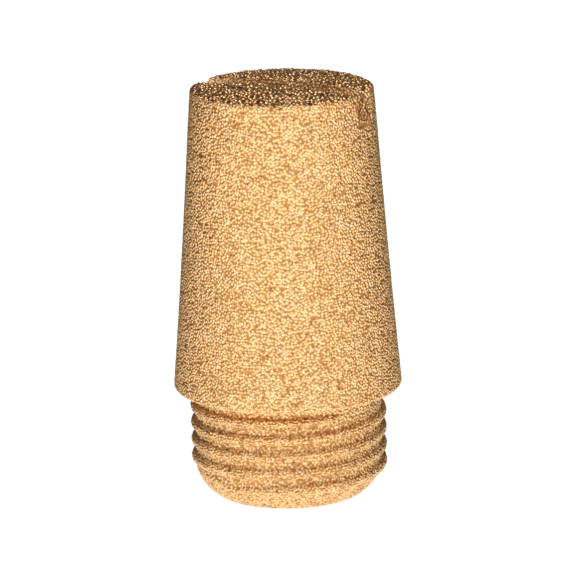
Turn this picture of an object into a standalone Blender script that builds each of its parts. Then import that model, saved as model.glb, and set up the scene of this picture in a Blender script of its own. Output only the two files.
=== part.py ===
"""A conical pneumatic muffler of sintered bronze, pressed and sintered in one piece.

The muffler stands on its threaded end. Its axis is +Z and the origin is the centre of the
end face. From the bottom up it has a rounded lead-in, a rounded G 1/2 thread, a flat shoulder
that seats on the port, a tapered body, and a slightly crowned top with a screwdriver slot.
Air enters by a blind bore from the threaded end and leaves through the porous wall.
"""

import math

import bmesh
import bpy

MM = 0.001

# Body
SHOULDER_RADIUS = 12.0 * MM
RIM_RADIUS = 9.55 * MM
BODY_HEIGHT = 32.0 * MM
BODY_SAG = 0.11 * MM  # how far the side dips inside a straight cone at mid-height
SHOULDER_EDGE_RADIUS = 0.45 * MM
RIM_EDGE_RADIUS = 0.55 * MM
CROWN = 0.5 * MM

# Threaded end
END_LENGTH = 11.3 * MM
ROOT_RADIUS = 9.8 * MM
LEAD_IN_HEIGHT = 2.6 * MM
LEAD_IN_BULGE = 0.3 * MM  # how far the lead-in stands outside a straight cone
END_FACE_RADIUS = 7.8 * MM

# Thread: right hand, 14 threads per inch
PITCH = 25.4 / 14 * MM
CREST_RADIUS = 10.35 * MM
RIDGE_RADIUS = 0.65 * MM
RIDGE_HEIGHT_AT_MINUS_X = 7.52 * MM  # height of one turn of the ridge on the -X side
RIDGE_FIRST_ANGLE = -4.9 * math.pi
RIDGE_LAST_ANGLE = 3.9 * math.pi
RIDGE_FADE = 0.5 * math.pi  # the turn over which each end of the ridge sinks into the root
RIDGE_SINK = 1.1 * MM  # how deep the middle of the ridge would sink if it faded to nothing
RIDGE_POINTS_PER_TURN = 40
RIDGE_ROUNDNESS = 3  # bevel resolution of the ridge

# Blind bore
BORE_MOUTH_RADIUS = 6.6 * MM
BORE_END_RADIUS = 5.8 * MM
BORE_DEPTH = 36.0 * MM
BORE_END_EDGE = 2.0 * MM
BORE_MOUTH_EDGE = 0.2 * MM

# Screwdriver slot
SLOT_WIDTH = 2.9 * MM
SLOT_DEPTH = 3.5 * MM  # below the rim
SLOT_ANGLE = math.radians(-27.5)  # from +X, seen from above

TURN_STEPS = 64
SIDE_POINTS = 9
LEAD_IN_POINTS = 6
ARC_POINTS = 4

RIM_HEIGHT = END_LENGTH + BODY_HEIGHT


def clear_scene():
    for obj in list(bpy.data.objects):
        bpy.data.objects.remove(obj, do_unlink=True)


def new_collection(name):
    collection = bpy.data.collections.new(name)
    bpy.context.scene.collection.children.link(collection)
    return collection


def arc(centre, radius, start, end, points=ARC_POINTS):
    """Points of an arc in the (radius, height) plane, its angles in degrees from +X."""
    found = []
    for i in range(points + 1):
        angle = math.radians(start + (end - start) * i / points)
        r = centre[0] + radius * math.cos(angle)
        z = centre[1] + radius * math.sin(angle)
        found.append((r, z))
    return found


def side_radius(height):
    """Outer radius of the body at a height above the shoulder's underside."""
    u = height / BODY_HEIGHT
    cone = SHOULDER_RADIUS + (RIM_RADIUS - SHOULDER_RADIUS) * u
    return cone - 4 * BODY_SAG * u * (1 - u)


def lead_in_points():
    """The lead-in, one arc from the thread's root down to the end face."""
    across = ROOT_RADIUS - END_FACE_RADIUS
    chord = math.hypot(across, LEAD_IN_HEIGHT)
    radius = (chord**2 / 4 + LEAD_IN_BULGE**2) / (2 * LEAD_IN_BULGE)
    tilt = math.degrees(math.atan2(across, LEAD_IN_HEIGHT))
    half = math.degrees(math.asin(chord / (2 * radius)))
    start = math.radians(half - tilt)
    centre = (ROOT_RADIUS - radius * math.cos(start), LEAD_IN_HEIGHT - radius * math.sin(start))
    return arc(centre, radius, half - tilt, -half - tilt, LEAD_IN_POINTS)


def crown_points():
    """The top from the axis out to the rounded rim, a shallow spherical cap."""
    edge = RIM_RADIUS - RIM_EDGE_RADIUS
    sphere = (edge**2 + CROWN**2) / (2 * CROWN)
    found = []
    for i in range(5):
        r = edge * i / 5
        z = RIM_HEIGHT + CROWN - sphere + math.sqrt(sphere**2 - r**2)
        found.append((r, z))
    return found


def outer_profile():
    """The outside from the top of the axis down to the middle of the end face."""
    points = crown_points()
    rim_centre = (RIM_RADIUS - RIM_EDGE_RADIUS, RIM_HEIGHT - RIM_EDGE_RADIUS)
    points += arc(rim_centre, RIM_EDGE_RADIUS, 90, 0)
    first = BODY_HEIGHT - RIM_EDGE_RADIUS
    for i in range(1, SIDE_POINTS):
        height = first + (SHOULDER_EDGE_RADIUS - first) * i / SIDE_POINTS
        points.append((side_radius(height), END_LENGTH + height))
    foot = side_radius(SHOULDER_EDGE_RADIUS)
    foot_centre = (foot - SHOULDER_EDGE_RADIUS, END_LENGTH + SHOULDER_EDGE_RADIUS)
    points += arc(foot_centre, SHOULDER_EDGE_RADIUS, 0, -90)
    points.append((ROOT_RADIUS, END_LENGTH))
    points += lead_in_points()
    points.append((0.0, 0.0))
    return points


def bore_profile():
    """The blind bore from the top of its axis down to below the end face."""
    end_centre = (BORE_END_RADIUS - BORE_END_EDGE, BORE_DEPTH - BORE_END_EDGE)
    points = [(0.0, BORE_DEPTH)] + arc(end_centre, BORE_END_EDGE, 90, 0, 5)
    points.append((BORE_MOUTH_RADIUS, BORE_MOUTH_EDGE))
    below = 1 * MM
    points.append((BORE_MOUTH_RADIUS + BORE_MOUTH_EDGE + below, -below))
    points.append((0.0, -below))
    return points


def turned(name, points, collection):
    """A solid of revolution about +Z, from (radius, height) points that run top to bottom."""
    mesh = bpy.data.meshes.new(name)
    edges = [(i, i + 1) for i in range(len(points) - 1)]
    mesh.from_pydata([(r, 0.0, z) for r, z in points], edges, [])
    obj = bpy.data.objects.new(name, mesh)
    collection.objects.link(obj)
    screw = obj.modifiers.new("Turn", "SCREW")
    screw.axis = "Z"
    screw.steps = TURN_STEPS
    screw.render_steps = TURN_STEPS
    screw.use_merge_vertices = True
    screw.merge_threshold = 0.000001
    return obj


def ridge_size(angle):
    """The share of its full radius that the thread's ridge has, less than 1 near its ends."""
    from_end = min(angle - RIDGE_FIRST_ANGLE, RIDGE_LAST_ANGLE - angle)
    share = min(from_end / RIDGE_FADE, 1.0)
    return 0.35 + 0.65 * math.sin(share * math.pi / 2)


def thread_ridge(collection):
    """The thread as one round-crested helical rod, sunk into the root cylinder."""
    turns = (RIDGE_LAST_ANGLE - RIDGE_FIRST_ANGLE) / math.tau
    count = round(turns * RIDGE_POINTS_PER_TURN)
    curve = bpy.data.curves.new("thread_path", "CURVE")
    curve.dimensions = "3D"
    curve.bevel_depth = RIDGE_RADIUS
    curve.bevel_resolution = RIDGE_ROUNDNESS
    curve.use_fill_caps = True
    spline = curve.splines.new("POLY")
    spline.points.add(count)
    for i, point in enumerate(spline.points):
        angle = RIDGE_FIRST_ANGLE + turns * math.tau * i / count
        size = ridge_size(angle)
        r = CREST_RADIUS - RIDGE_RADIUS - (1 - size) * RIDGE_SINK
        z = RIDGE_HEIGHT_AT_MINUS_X + PITCH * (angle - math.pi) / math.tau
        point.co = (r * math.cos(angle), r * math.sin(angle), z, 1.0)
        point.radius = size
    path = bpy.data.objects.new("thread_path", curve)
    collection.objects.link(path)
    depsgraph = bpy.context.evaluated_depsgraph_get()
    mesh = bpy.data.meshes.new_from_object(path.evaluated_get(depsgraph))
    bm = bmesh.new()
    bm.from_mesh(mesh)
    bmesh.ops.remove_doubles(bm, verts=bm.verts, dist=0.000001)
    bm.to_mesh(mesh)
    bm.free()
    ridge = bpy.data.objects.new("thread_ridge", mesh)
    collection.objects.link(ridge)
    ridge.matrix_world = path.matrix_world
    bpy.data.objects.remove(path, do_unlink=True)
    return ridge


def slot_cutter(collection):
    """The box that cuts the slot right across the top."""
    above = 2 * MM
    bpy.ops.mesh.primitive_cube_add(size=1.0)
    box = bpy.context.active_object
    box.name = "slot_cutter"
    for owner in list(box.users_collection):
        owner.objects.unlink(box)
    collection.objects.link(box)
    height = SLOT_DEPTH + CROWN + above
    box.scale = (3 * RIM_RADIUS, SLOT_WIDTH, height)
    box.rotation_euler = (0, 0, SLOT_ANGLE)
    box.location = (0, 0, RIM_HEIGHT - SLOT_DEPTH + height / 2)
    return box


def combine(target, other, operation):
    boolean = target.modifiers.new(other.name, "BOOLEAN")
    boolean.operation = operation
    boolean.solver = "EXACT"
    boolean.object = other


def sintered_bronze():
    material = bpy.data.materials.new("sintered_bronze")
    material.use_nodes = True
    shader = material.node_tree.nodes["Principled BSDF"]
    shader.inputs["Base Color"].default_value = (0.60, 0.36, 0.14, 1.0)
    shader.inputs["Metallic"].default_value = 0.9
    shader.inputs["Roughness"].default_value = 0.5
    return material


def build():
    clear_scene()
    parts = new_collection("pneumatic_muffler")
    cutters = new_collection("cutters")
    muffler = turned("muffler_body", outer_profile(), parts)
    ridge = thread_ridge(cutters)
    bore = turned("bore_cutter", bore_profile(), cutters)
    slot = slot_cutter(cutters)
    for tool in (ridge, bore, slot):
        tool.hide_render = True
        tool.display_type = "WIRE"
    combine(muffler, ridge, "UNION")
    combine(muffler, bore, "DIFFERENCE")
    combine(muffler, slot, "DIFFERENCE")
    muffler.data.materials.append(sintered_bronze())


build()
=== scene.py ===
"""The looks of a one-piece sintered-bronze pneumatic muffler: its grain, metal, stage and lights.

The CAD body is copied, remeshed finely, and covered with the grains that bronze powder sinters
into. Grains that the mould pressed touch its wall, and those on the free top stand more apart.
"""

import math

import bmesh
import bpy
import numpy as np
from mathutils import Matrix, Vector
from mathutils.bvhtree import BVHTree
from mathutils.kdtree import KDTree


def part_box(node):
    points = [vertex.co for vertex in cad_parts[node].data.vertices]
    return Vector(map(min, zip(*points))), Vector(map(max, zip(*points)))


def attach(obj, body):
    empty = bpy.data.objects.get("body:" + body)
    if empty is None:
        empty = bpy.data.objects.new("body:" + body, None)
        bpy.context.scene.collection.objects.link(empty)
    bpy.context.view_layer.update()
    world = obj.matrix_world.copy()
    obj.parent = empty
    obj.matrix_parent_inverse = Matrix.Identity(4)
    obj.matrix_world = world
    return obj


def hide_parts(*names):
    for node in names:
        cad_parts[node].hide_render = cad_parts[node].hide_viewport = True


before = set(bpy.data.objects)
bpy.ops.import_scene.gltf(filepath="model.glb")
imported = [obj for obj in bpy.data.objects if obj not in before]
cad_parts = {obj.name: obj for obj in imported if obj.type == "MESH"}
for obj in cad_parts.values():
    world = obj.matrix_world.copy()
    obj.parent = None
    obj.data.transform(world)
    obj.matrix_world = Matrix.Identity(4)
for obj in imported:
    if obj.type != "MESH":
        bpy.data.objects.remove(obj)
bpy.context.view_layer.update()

MM = 0.001
low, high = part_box("muffler_body")
HEIGHT = high.z - low.z
CROWN_RADIUS = 9.22 * MM  # of the free top, which reaches a little onto the rim's rounding
SHOULDER_HEIGHT = 11.3 * MM
BORE_RADIUS = 6.0 * MM  # about that of its blind end
SLOT_WIDTH = 2.9 * MM
SLOT_ANGLE = math.radians(-27.5)  # from +X, seen from above
SLOT_FLOOR = high.z - 4.0 * MM
SLOT_MARGIN = 0.06 * MM  # how far outside the slot a point may be and still count as its wall

# Fine mesh
MESH_STEP = 0.06 * MM
MESH_SMOOTHING = 2

# Grains that the mould pressed
RANDOM_SEED = 11
GRAIN_SPACING = 0.25 * MM  # least distance between two grains' centres
GRAIN_DENSITY = 80.0 / MM**2  # of the tries at placing one
GRAIN_FLAT = 0.14 * MM  # radius of the flat that the mould pressed on a grain
GRAIN_FLAT_SPREAD = 0.012 * MM
GRAIN_EDGE = 0.06 * MM  # width of the slope from the flat down into the gap
GRAIN_DOME = 0.25 * MM  # radius of the slight dome that the flat keeps
GRAIN_TILT = 0.17  # typical slope of a flat
GRAIN_GAP = 0.12 * MM  # depth of the gaps between the grains
GRAINS_MISSING = 0.03  # share of the grains that left a gap
SLOT_GRAIN_DOME = 0.13 * MM
SLOT_GAP = 0.5  # depth of the gaps in the slot, as a share of the others' depth

# Loose, round grains on the free top
LOOSE_SPACING = 0.36 * MM
LOOSE_DENSITY = 60.0 / MM**2
LOOSE_RADIUS = 0.21 * MM
LOOSE_SINK = 0.09 * MM  # typical depth at which a grain lies under the CAD face
LOOSE_DROP = 0.25 * MM  # how far the solid under the loose grains is lowered
LOOSE_GAP_SHADE = 3.0  # how fast the painted shade between loose grains darkens with depth
LOOSE_FACING = 0.5  # least upward part of a normal where the top is free
TOP_DEPTH = 0.9 * MM  # the free top lies no lower than this below the crown
TOUCH = 0.01 * MM

# Metal
PRESSED_ROUGHNESS = 0.46
LOOSE_ROUGHNESS = 0.4
SLOT_ROUGHNESS = 0.5
ROUGHNESS_SPREAD = 0.08
ROUGHNESS_SIZE = 0.3 * MM
BLOTCH_SIZE = 0.8 * MM
BUMP_SIZE = 0.1 * MM
BUMP_HEIGHT = 0.01 * MM
BUMP_STRENGTH = 0.5

# Bake map: its scale, and for each patch the place where the part's origin falls on it
MAP_SCALE = 0.0125 / MM
SIDE_AT = (0.49, 0.01)
SIDE_WIDTH = 0.94
BORE_AT = (0.78, 0.6)
BORE_WIDTH = 0.36
BELOW_AT = (0.42, 0.75)
TOP_AT = (0.14, 0.72)
WALL_AT = (0.14, 0.37)
OTHER_WALL_AT = (0.14, 0.43)
PATCH_MARGIN = 0.3 * MM  # how far a patch may reach past the edge of its flat face
BODY_MARGIN = 1.0 * MM  # how far a patch may reach into the body
UPWARD = 0.6  # least upward part of a normal on the slot's floor
SQUARE_ON = 0.7  # least part of a normal across the slot on its walls, or down below
INWARD = 0.3  # least part of a normal towards the axis in the bore

# Camera, seen from the front and a little above
CAMERA_ELEVATION = math.radians(14.7)
CAMERA_ROLL = math.radians(-1.24)
CAMERA_DISTANCE = 439 * MM
CAMERA_TARGET = Vector((0.215 * MM, 0, 0.4954 * HEIGHT))
CAMERA_LENS = 263.2
CAMERA_SENSOR = 36
CAMERA_CLIP_START = 0.01

# Floor and sky, in metres and in strengths of white
FLOOR_SIZE = 3.0
FLOOR_FADE = 0.03  # half the width over which the floor's glow fades, under the part
FLOOR_PALENESS = 0.15
FLOOR_ROUGHNESS = 0.8
FLOOR_GLOW = 2.5
FLOOR_GLOW_BEHIND = 0.12
SKY_LIGHT = 0.02
WHITE_TO_EYE = 1.0

# Lights, in degrees, metres and watts
KEY_AZIMUTH = 50
LEFT_KEY_ELEVATION = 26
RIGHT_KEY_ELEVATION = 42
KEY_DISTANCE = 0.8
KEY_SIZE = 0.48
LEFT_KEY_POWER = 1.8
RIGHT_KEY_POWER = 2.75
BACK_AZIMUTH = 140
BACK_ELEVATION = 60
BACK_DISTANCE = 0.8
BACK_SIZE = 0.6
BACK_POWER = 0.16
TOP_AZIMUTH = -27
TOP_ELEVATION = 66
TOP_DISTANCE = 0.6
TOP_SIZE = 0.24
TOP_POWER = 1.5


def evaluated_mesh(obj):
    depsgraph = bpy.context.evaluated_depsgraph_get()
    return bpy.data.meshes.new_from_object(obj.evaluated_get(depsgraph))


def new_piece(name, mesh):
    piece = bpy.data.objects.new(name, mesh)
    bpy.context.scene.collection.objects.link(piece)
    return piece


def read_vectors(collection, field):
    values = np.empty(len(collection) * 3, np.float32)
    collection.foreach_get(field, values)
    return values.reshape(-1, 3)


def spread_points(node, spacing, density):
    """Points spread at random over a CAD node, at least this far apart."""
    piece = new_piece("seeded", node.data.copy())
    tree = bpy.data.node_groups.new("spread_points", "GeometryNodeTree")
    tree.interface.new_socket("Geometry", in_out="INPUT", socket_type="NodeSocketGeometry")
    tree.interface.new_socket("Geometry", in_out="OUTPUT", socket_type="NodeSocketGeometry")
    nodes = tree.nodes
    start = nodes.new("NodeGroupInput")
    scatter = nodes.new("GeometryNodeDistributePointsOnFaces")
    scatter.distribute_method = "POISSON"
    scatter.inputs["Distance Min"].default_value = spacing
    scatter.inputs["Density Max"].default_value = density
    scatter.inputs["Seed"].default_value = RANDOM_SEED
    to_mesh = nodes.new("GeometryNodePointsToVertices")
    end = nodes.new("NodeGroupOutput")
    tree.links.new(start.outputs[0], scatter.inputs["Mesh"])
    tree.links.new(scatter.outputs["Points"], to_mesh.inputs["Points"])
    tree.links.new(to_mesh.outputs[0], end.inputs[0])
    modifier = piece.modifiers.new("Grains", "NODES")
    modifier.node_group = tree
    mesh = evaluated_mesh(piece)
    bpy.data.objects.remove(piece, do_unlink=True)
    points = read_vectors(mesh.vertices, "co").astype(np.float64)
    bpy.data.meshes.remove(mesh)
    bpy.data.node_groups.remove(tree)
    return points


def face_normals(node, points):
    """The normal of the CAD face nearest to each point."""
    bm = bmesh.new()
    bm.from_mesh(node.data)
    tree = BVHTree.FromBMesh(bm)
    bm.free()
    return np.array([tree.find_nearest(point)[1][:] for point in points])


def is_crown(points):
    """Whether points lie on the top, inside its rounded rim."""
    inside = np.hypot(points[:, 0], points[:, 1]) < CROWN_RADIUS + TOUCH
    return inside & (points[:, 2] > high.z - TOP_DEPTH)


def is_loose(points, normals):
    """Whether points lie on the free top, where no mould pressed the grains."""
    return is_crown(points) & (normals[:, 2] > LOOSE_FACING)


def is_in_slot(points):
    """Whether points lie on the screwdriver slot's walls or floor."""
    aside = abs(points[:, 1] * math.cos(SLOT_ANGLE) - points[:, 0] * math.sin(SLOT_ANGLE))
    return (aside < SLOT_WIDTH / 2 + SLOT_MARGIN) & (points[:, 2] > SLOT_FLOOR - SLOT_MARGIN)


def round_grains_at(points, normals):
    """The middles of round grains, sunk under the faces so that none stands out of the CAD."""
    rng = np.random.default_rng(RANDOM_SEED)
    sink = np.clip(LOOSE_SINK * np.abs(rng.standard_normal(len(points))), 0, 2 * LOOSE_SINK)
    return points - normals * (LOOSE_RADIUS + sink)[:, None]


def joined_balls(centres):
    """One mesh of equal balls."""
    bm = bmesh.new()
    bmesh.ops.create_icosphere(bm, subdivisions=2, radius=LOOSE_RADIUS)
    ball = np.array([v.co[:] for v in bm.verts])
    faces = np.array([[v.index for v in f.verts] for f in bm.faces])
    bm.free()
    points = (centres[:, None, :] + ball[None]).reshape(-1, 3)
    triangles = (np.arange(len(centres))[:, None, None] * len(ball) + faces[None]).reshape(-1, 3)
    mesh = bpy.data.meshes.new("balls")
    mesh.from_pydata(points, [], triangles)
    return mesh


def lower_crown(bm):
    """Makes room on the top for its round grains."""
    points = np.array([vertex.co[:] for vertex in bm.verts])
    for vertex, lowered in zip(bm.verts, is_crown(points)):
        vertex.co.z -= lowered * LOOSE_DROP


def grown_copy(node, name, grains):
    """A dense, even mesh of a CAD node whose top is lowered and heaped with round grains."""
    bm = bmesh.new()
    bm.from_mesh(node.data)
    lower_crown(bm)
    bm.from_mesh(joined_balls(grains))
    mesh = bpy.data.meshes.new(name)
    bm.to_mesh(mesh)
    bm.free()
    piece = new_piece(name, mesh)
    remesh = piece.modifiers.new("Remesh", "REMESH")
    remesh.mode = "VOXEL"
    remesh.voxel_size = MESH_STEP
    smooth = piece.modifiers.new("Smooth", "SMOOTH")
    smooth.iterations = MESH_SMOOTHING
    piece.data = evaluated_mesh(piece)
    piece.modifiers.clear()
    return piece


def nearest_grain(points, centres):
    tree = KDTree(len(centres))
    for i, centre in enumerate(centres):
        tree.insert(centre, i)
    tree.balance()
    return np.array([tree.find(point)[1] for point in points])


def store(mesh, name, values):
    attribute = mesh.attributes.new(name, "FLOAT", "POINT")
    attribute.data.foreach_set("value", values.astype(np.float32))


def add_grain(piece, pressed_grains, round_grains):
    """Sinks the pressed faces between their grains, and marks every grain for the material."""
    mesh = piece.data
    points = read_vectors(mesh.vertices, "co")
    normals = read_vectors(mesh.vertex_normals, "vector")
    centres = np.concatenate([pressed_grains, round_grains]).astype(np.float32)
    nearest = nearest_grain(points, centres)
    loose = nearest >= len(pressed_grains)

    rng = np.random.default_rng(RANDOM_SEED)
    tone = rng.random(len(centres))
    chance = rng.standard_normal(len(centres))
    tilt = rng.standard_normal((len(centres), 3)) * GRAIN_TILT
    flat = (GRAIN_FLAT + GRAIN_FLAT_SPREAD * chance)[nearest]
    away = points - centres[nearest]
    distance = np.linalg.norm(away, axis=1)

    in_slot = is_in_slot(points)
    fall = np.clip((distance - flat) / GRAIN_EDGE, 0, 1)
    smooth_fall = fall**2 * (3 - 2 * fall)
    gap = GRAIN_GAP * smooth_fall * np.where(in_slot, SLOT_GAP, 1)
    dome = np.where(in_slot, SLOT_GRAIN_DOME, GRAIN_DOME)
    relief = -gap - distance**2 / (2 * dome)
    relief += np.einsum("ij,ij->i", away, tilt[nearest]) - GRAIN_TILT * GRAIN_FLAT
    relief = np.clip(relief, -GRAIN_GAP, 0) * ~loose
    # Painted shade: the deeper a point lies in the gap between grains, the darker its colour is
    # painted
    gap_shade = np.where(in_slot, gap, -relief)
    gap_shade = np.where(loose, LOOSE_GAP_SHADE * (distance - LOOSE_RADIUS), gap_shade)

    add_bake_map(mesh, points, normals)
    points += normals * relief[:, None]
    mesh.vertices.foreach_set("co", points.ravel())
    store(mesh, "tone", tone[nearest])
    # painted shade in the gaps, from 0 to 1, which the material turns into darker colour
    store(mesh, "gap_shade", np.clip(gap_shade / GRAIN_GAP, 0, 1))
    store(mesh, "loose", loose)
    pressed_roughness = np.where(in_slot, SLOT_ROUGHNESS, PRESSED_ROUGHNESS)
    store(mesh, "roughness", np.where(loose, LOOSE_ROUGHNESS, pressed_roughness))
    mesh.shade_smooth()
    mesh.update()


def unrolled(place, origin, width, scale):
    """Bake-map places of corners around the part's axis, by angle and height."""
    angle = np.arctan2(place[:, :, 1], place[:, :, 0])
    over_the_seam = np.ptp(angle, axis=1) > math.pi
    angle += over_the_seam[:, None] * (angle < 0) * math.tau
    across = np.stack([width * angle / math.tau, scale * place[:, :, 2]], axis=2)
    return np.array(origin) + across


def flattened(place, origin, along, up):
    """Bake-map places of corners on a plane with these two directions."""
    across = np.stack([place @ along, place @ up], axis=2)
    return np.array(origin) + MAP_SCALE * across


def add_bake_map(mesh, base, facing):
    """Unwraps the skin by the smooth shape under its grains, so that its bake has no overlaps."""
    corners = np.empty(len(mesh.loops), np.int32)
    mesh.loops.foreach_get("vertex_index", corners)
    corners = corners.reshape(-1, 4)
    place = base[corners].astype(np.float64)
    middle = place.mean(axis=1)
    normal = facing[corners].mean(axis=1)
    radius = np.hypot(middle[:, 0], middle[:, 1])
    height = middle[:, 2]
    outward = (normal[:, :2] * middle[:, :2]).sum(axis=1) / np.maximum(radius, TOUCH)

    x_way, y_way, z_way = np.eye(3)
    slot_way = np.array((math.cos(SLOT_ANGLE), math.sin(SLOT_ANGLE), 0.0))
    wall_way = np.array((-slot_way[1], slot_way[0], 0.0))
    facing_wall = normal @ wall_way
    in_slot = is_in_slot(middle)
    top = (height > high.z - BODY_MARGIN) & (radius < CROWN_RADIUS + PATCH_MARGIN)
    top |= in_slot & (normal[:, 2] > UPWARD)
    below = (height < PATCH_MARGIN) | (height > SHOULDER_HEIGHT - PATCH_MARGIN)
    below &= (height < SHOULDER_HEIGHT + BODY_MARGIN) | (radius < BORE_RADIUS)
    below &= normal[:, 2] < -SQUARE_ON
    bore = (radius < BORE_RADIUS + BODY_MARGIN) & (height < SLOT_FLOOR - BODY_MARGIN)
    bore &= outward < -INWARD

    uv = unrolled(place, SIDE_AT, SIDE_WIDTH, MAP_SCALE)
    for kind, patch in (
        (bore, unrolled(place, BORE_AT, BORE_WIDTH, MAP_SCALE / 2)),
        (below, flattened(place, BELOW_AT, x_way, y_way)),
        (top, flattened(place, TOP_AT, x_way, y_way)),
        (in_slot & (facing_wall > SQUARE_ON), flattened(place, WALL_AT, slot_way, z_way)),
        (in_slot & (facing_wall < -SQUARE_ON), flattened(place, OTHER_WALL_AT, slot_way, z_way)),
    ):
        uv[kind] = patch[kind]
    layer = mesh.uv_layers.new(name="OFBake")
    layer.uv.foreach_set("vector", uv.ravel())


def grained_body(node, name):
    """A copy of the CAD body whose faces are grains: flat where pressed, round on the top."""
    pressed = spread_points(node, GRAIN_SPACING, GRAIN_DENSITY)
    pressed = pressed[~is_loose(pressed, face_normals(node, pressed))]
    chance = np.random.default_rng(RANDOM_SEED).random(len(pressed))
    pressed = pressed[chance > GRAINS_MISSING]
    loose = spread_points(node, LOOSE_SPACING, LOOSE_DENSITY)
    normals = face_normals(node, loose)
    kept = is_loose(loose, normals)
    balls = round_grains_at(loose[kept], normals[kept])
    piece = grown_copy(node, name, balls)
    add_grain(piece, pressed, balls)
    return piece


def attribute_node(tree, name):
    made = tree.nodes.new("ShaderNodeAttribute")
    made.attribute_name = name
    return made.outputs["Fac"]


def ramp(tree, source, stops):
    """The colour of a value by a ramp of (value, colour) stops."""
    made = tree.nodes.new("ShaderNodeValToRGB")
    elements = made.color_ramp.elements
    while len(elements) < len(stops):
        elements.new(0.5)
    for element, (position, colour) in zip(elements, stops):
        element.position = position
        element.color = (*colour, 1)
    tree.links.new(source, made.inputs["Fac"])
    return made.outputs["Color"]


def multiply(tree, a, b):
    made = tree.nodes.new("ShaderNodeMix")
    made.data_type = "RGBA"
    made.blend_type = "MULTIPLY"
    made.inputs["Factor"].default_value = 1.0
    tree.links.new(a, made.inputs[6])
    tree.links.new(b, made.inputs[7])
    return made.outputs[2]


def noise(tree, size):
    """Noise whose blotches are about this size, in metres."""
    place = tree.nodes.new("ShaderNodeTexCoord")
    made = tree.nodes.new("ShaderNodeTexNoise")
    made.inputs["Scale"].default_value = 1 / size
    tree.links.new(place.outputs["Object"], made.inputs["Vector"])
    return made.outputs["Fac"]


def map_range(tree, source, low_in, high_in, low_out, high_out):
    made = tree.nodes.new("ShaderNodeMapRange")
    made.inputs["From Min"].default_value = low_in
    made.inputs["From Max"].default_value = high_in
    made.inputs["To Min"].default_value = low_out
    made.inputs["To Max"].default_value = high_out
    tree.links.new(source, made.inputs["Value"])
    return made.outputs["Result"]


def bronze():
    """Bare metal whose colour varies by grain, with painted shade that darkens it in the gaps."""
    material = bpy.data.materials.new("sintered_bronze_grain")
    material.use_nodes = True
    tree = material.node_tree
    shader = tree.nodes["Principled BSDF"]
    tone = ramp(tree, attribute_node(tree, "tone"), [
        (0.0, (0.6, 0.34, 0.16)),
        (0.25, (0.88, 0.56, 0.24)),
        (0.5, (0.86, 0.58, 0.31)),
        (0.75, (0.72, 0.48, 0.21)),
        (1.0, (0.96, 0.66, 0.43)),
    ])
    # Painted shade: the colour darkens to this brown with the depth of the gaps between grains
    gap_shade_colour = ramp(tree, attribute_node(tree, "gap_shade"), [
        (0.3, (1.0, 1.0, 1.0)),
        (1.0, (0.6, 0.45, 0.3)),
    ])
    blotch = ramp(tree, noise(tree, BLOTCH_SIZE), [
        (0.3, (0.77, 0.74, 0.7)),
        (0.7, (1.0, 1.0, 1.0)),
    ])
    warmth = ramp(tree, attribute_node(tree, "loose"), [
        (0.0, (1.0, 1.0, 1.0)),
        (1.0, (1.0, 0.9, 0.86)),
    ])
    colour = tone
    for layer in (gap_shade_colour, blotch, warmth):
        colour = multiply(tree, colour, layer)
    tree.links.new(colour, shader.inputs["Base Color"])
    shader.inputs["Metallic"].default_value = 1.0
    blotches = noise(tree, ROUGHNESS_SIZE)
    change = map_range(tree, blotches, 0.3, 0.7, -ROUGHNESS_SPREAD, ROUGHNESS_SPREAD)
    roughness = tree.nodes.new("ShaderNodeMath")
    tree.links.new(attribute_node(tree, "roughness"), roughness.inputs[0])
    tree.links.new(change, roughness.inputs[1])
    tree.links.new(roughness.outputs[0], shader.inputs["Roughness"])
    bump = tree.nodes.new("ShaderNodeBump")
    bump.inputs["Strength"].default_value = BUMP_STRENGTH
    bump.inputs["Distance"].default_value = BUMP_HEIGHT
    tree.links.new(noise(tree, BUMP_SIZE), bump.inputs["Height"])
    tree.links.new(bump.outputs["Normal"], shader.inputs["Normal"])
    return material


def place_camera():
    data = bpy.data.cameras.new("camera")
    data.lens = CAMERA_LENS
    data.sensor_width = CAMERA_SENSOR
    data.clip_start = CAMERA_CLIP_START
    camera = bpy.data.objects.new("camera", data)
    bpy.context.scene.collection.objects.link(camera)
    back = Vector((0, -math.cos(CAMERA_ELEVATION), math.sin(CAMERA_ELEVATION)))
    pitch = Matrix.Rotation(math.pi / 2 - CAMERA_ELEVATION, 4, "X")
    roll = Matrix.Rotation(CAMERA_ROLL, 4, "Z")
    place = Matrix.Translation(CAMERA_TARGET + CAMERA_DISTANCE * back)
    camera.matrix_world = place @ pitch @ roll
    bpy.context.scene.camera = camera


def place_light(name, azimuth, elevation, distance, size, power):
    """A square soft light that faces the part; azimuth 0 is the front, 90 the right side."""
    data = bpy.data.lights.new(name, "AREA")
    data.shape = "SQUARE"
    data.size = size
    data.energy = power
    light = bpy.data.objects.new(name, data)
    bpy.context.scene.collection.objects.link(light)
    a, e = math.radians(azimuth), math.radians(elevation)
    way = Vector((math.sin(a) * math.cos(e), -math.cos(a) * math.cos(e), math.sin(e)))
    facing = way.to_track_quat("Z", "Y").to_matrix().to_4x4()
    light.matrix_world = Matrix.Translation(CAMERA_TARGET + distance * way) @ facing


def to_the_eye(tree, as_light, as_seen, socket):
    """Sets a stage's strength, one value as a light on the part and another as a backdrop."""
    path = tree.nodes.new("ShaderNodeLightPath")
    strength = tree.nodes.new("ShaderNodeMapRange")
    strength.inputs["To Min"].default_value = as_light
    strength.inputs["To Max"].default_value = as_seen
    tree.links.new(path.outputs["Is Camera Ray"], strength.inputs["Value"])
    tree.links.new(strength.outputs["Result"], socket)
    return strength.inputs["To Min"]


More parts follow.
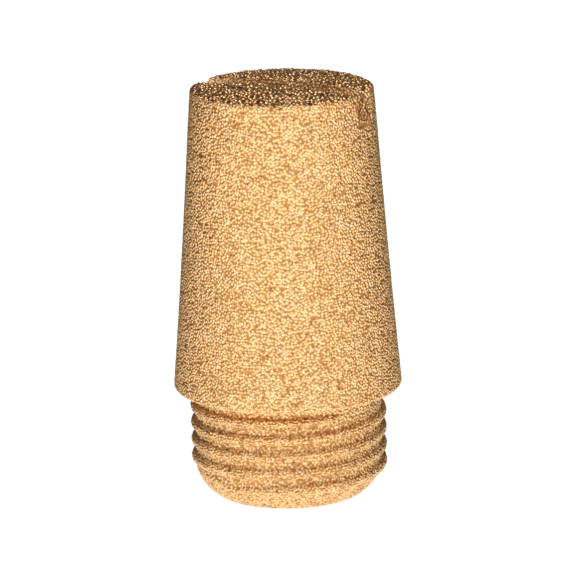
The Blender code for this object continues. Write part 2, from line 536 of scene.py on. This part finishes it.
def front_to_back(tree, front, back, socket):
    """Sets a socket by a place's distance behind the part's axis."""
    place = tree.nodes.new("ShaderNodeTexCoord")
    apart = tree.nodes.new("ShaderNodeSeparateXYZ")
    fade = tree.nodes.new("ShaderNodeMapRange")
    fade.inputs["From Min"].default_value = -FLOOR_FADE
    fade.inputs["From Max"].default_value = FLOOR_FADE
    fade.inputs["To Min"].default_value = front
    fade.inputs["To Max"].default_value = back
    tree.links.new(place.outputs["Object"], apart.inputs["Vector"])
    tree.links.new(apart.outputs["Y"], fade.inputs["Value"])
    tree.links.new(fade.outputs["Result"], socket)


def place_floor():
    """A floor that is white to the eye and glows up at the part, most in front of it."""
    bpy.ops.mesh.primitive_plane_add(size=FLOOR_SIZE, location=(0, 0, low.z))
    floor = bpy.context.active_object
    floor.name = "floor"
    material = bpy.data.materials.new("floor_paint")
    material.use_nodes = True
    tree = material.node_tree
    shader = tree.nodes["Principled BSDF"]
    shader.inputs["Base Color"].default_value = (FLOOR_PALENESS, FLOOR_PALENESS, FLOOR_PALENESS, 1)
    shader.inputs["Roughness"].default_value = FLOOR_ROUGHNESS
    shader.inputs["Emission Color"].default_value = (1, 1, 1, 1)
    glow = to_the_eye(tree, FLOOR_GLOW, WHITE_TO_EYE, shader.inputs["Emission Strength"])
    front_to_back(tree, FLOOR_GLOW, FLOOR_GLOW_BEHIND, glow)
    floor.data.materials.append(material)


def place_sky():
    """White to the eye, but dim as a light."""
    world = bpy.data.worlds.new("world")
    world.use_nodes = True
    tree = world.node_tree
    sky = tree.nodes["Background"]
    sky.inputs["Color"].default_value = (1, 1, 1, 1)
    to_the_eye(tree, SKY_LIGHT, WHITE_TO_EYE, sky.inputs["Strength"])
    bpy.context.scene.world = world


body = grained_body(bpy.data.objects["muffler_body"], "sintered_body")
body.data.materials.clear()
body.data.materials.append(bronze())
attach(body, "root")
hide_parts("muffler_body")

place_camera()
place_floor()
place_sky()
place_light("left_key", -KEY_AZIMUTH, LEFT_KEY_ELEVATION, KEY_DISTANCE, KEY_SIZE, LEFT_KEY_POWER)
place_light("right_key", KEY_AZIMUTH, RIGHT_KEY_ELEVATION, KEY_DISTANCE, KEY_SIZE, RIGHT_KEY_POWER)
place_light("top", TOP_AZIMUTH, TOP_ELEVATION, TOP_DISTANCE, TOP_SIZE, TOP_POWER)
place_light("left_back", -BACK_AZIMUTH, BACK_ELEVATION, BACK_DISTANCE, BACK_SIZE, BACK_POWER)
place_light("right_back", BACK_AZIMUTH, BACK_ELEVATION, BACK_DISTANCE, BACK_SIZE, BACK_POWER)
bpy.context.scene.view_settings.view_transform = "Standard"
